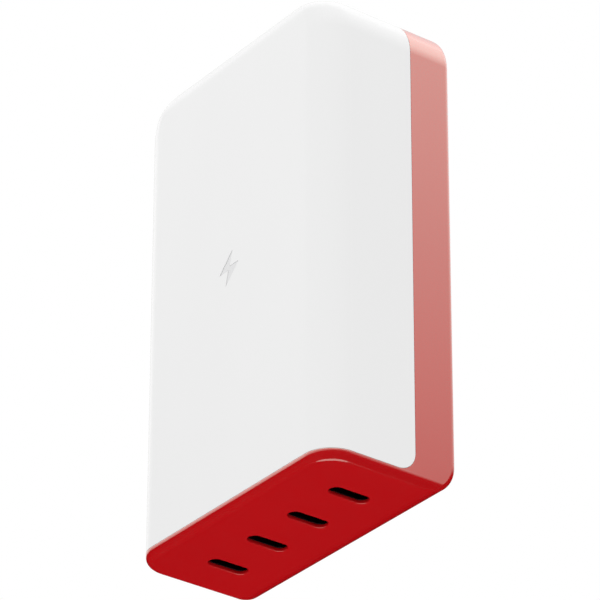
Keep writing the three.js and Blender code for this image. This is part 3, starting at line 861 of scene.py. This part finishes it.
def make_world():
    """White all round for the eye, soft light for matt surfaces, and a sky that only glossy surfaces mirror.
    The mirrored sky ends well above the horizon, so surfaces that face down keep their full colour. It is
    dimmer behind the charger, where the roundings mirror it most strongly."""
    world = bpy.data.worlds.new("studio")
    bpy.context.scene.world = world
    world.use_nodes = True
    world.cycles.sampling_method = "NONE"
    tree = world.node_tree
    direction = tree.nodes.new("ShaderNodeTexCoord").outputs["Generated"]
    split = tree.nodes.new("ShaderNodeSeparateXYZ")
    tree.links.new(direction, split.inputs["Vector"])
    across = split.outputs["X"]
    up = split.outputs["Z"]

    # the sky brightens quickly above its edge, then more slowly, up to a limit
    low_part = calculate(tree, "MULTIPLY_ADD", across, -0.6, calculate(tree, "MULTIPLY_ADD", up, 10.5, -3.52))
    high_part = calculate(tree, "MULTIPLY_ADD", across, -0.3, calculate(tree, "MULTIPLY_ADD", up, 5.0, -0.66))
    limit = calculate(tree, "MULTIPLY_ADD", across, 0.5, 2.75)
    level = calculate(tree, "MINIMUM", calculate(tree, "MINIMUM", low_part, high_part), limit)
    behind = toward(tree, direction, (-0.70, 0.52, 0.49))
    limit_behind = calculate(tree, "MULTIPLY_ADD", behind, -6.0, 6.85)
    level = calculate(tree, "MINIMUM", level, limit_behind)
    sky_edge = ramp(tree, up, 0.28, 0.42, 0, 1, True)
    sky = calculate(tree, "MAXIMUM", calculate(tree, "MULTIPLY", sky_edge, level), 0.0)

    soft = calculate(tree, "MULTIPLY_ADD", calculate(tree, "MULTIPLY", across, up), 0.9, 1.0)
    soft = calculate(tree, "MULTIPLY_ADD", up, -0.17, soft)

    path = tree.nodes.new("ShaderNodeLightPath")
    glossy_or_soft = tree.nodes.new("ShaderNodeMix")
    tree.links.new(path.outputs["Is Glossy Ray"], glossy_or_soft.inputs["Factor"])
    tree.links.new(soft, glossy_or_soft.inputs["A"])
    tree.links.new(sky, glossy_or_soft.inputs["B"])
    seen = tree.nodes.new("ShaderNodeMix")
    seen.inputs["B"].default_value = 1.0
    tree.links.new(path.outputs["Is Camera Ray"], seen.inputs["Factor"])
    tree.links.new(glossy_or_soft.outputs["Result"], seen.inputs["A"])
    background = tree.nodes["Background"]
    background.inputs["Color"].default_value = (1, 1, 1, 1)
    tree.links.new(seen.outputs["Result"], background.inputs["Strength"])


def make_lamp(name, way, distance, size, power):
    """A round lamp in a given direction, which shines on the charger and isn't seen itself."""
    data = bpy.data.lights.new(name, "AREA")
    data.shape = "DISK"
    data.size = size
    data.energy = power
    lamp = bpy.data.objects.new(name, data)
    bpy.context.scene.collection.objects.link(lamp)
    way = Vector(way).normalized()
    lamp.location = way * distance
    lamp.rotation_mode = "QUATERNION"
    lamp.rotation_quaternion = way.to_track_quat("Z", "Y")
    lamp.visible_camera = False
    return lamp


def make_lamps():
    """A low one draws the highlight along the rounded foot and lights nothing matt. A near, high one lights
    the top a little more and isn't mirrored."""
    low_lamp = make_lamp("low_lamp", (-0.22, 0.22, -0.95), 0.8, 0.56, 1.0)
    low_lamp.visible_diffuse = False
    high_lamp = make_lamp("high_lamp", (0.42, -0.58, 0.7), 0.55, 0.3, 0.22)
    high_lamp.visible_glossy = False


def make_floor():
    """A pale floor a metre below, because the charger is seen from underneath."""
    floor = prism("floor", arc(0, 0, floor_radius, 0, 360, 65)[:-1], "z", floor_top - floor_thickness,
                  floor_top)
    floor.data.materials.append(new_material("pale_floor", (0.92, 0.92, 0.92), 0.9, specular=0.1))
    floor.visible_glossy = False
    floor.visible_diffuse = False
    floor.visible_shadow = False


# ---------------------------------------------------------------- assembly

make_camera()
make_world()
make_lamps()
make_floor()
bpy.context.scene.view_settings.view_transform = "Standard"

finishes = make_finishes()
finish_cad_nodes()
build_cover()
build_mark()
build_casing()
for number in range(1, socket_count + 1):
    build_socket_shell(number)
    build_socket_tongue(number)
    build_socket_contacts(number)
build_well()
build_carrier()
for word in sides:
    build_blade(word)
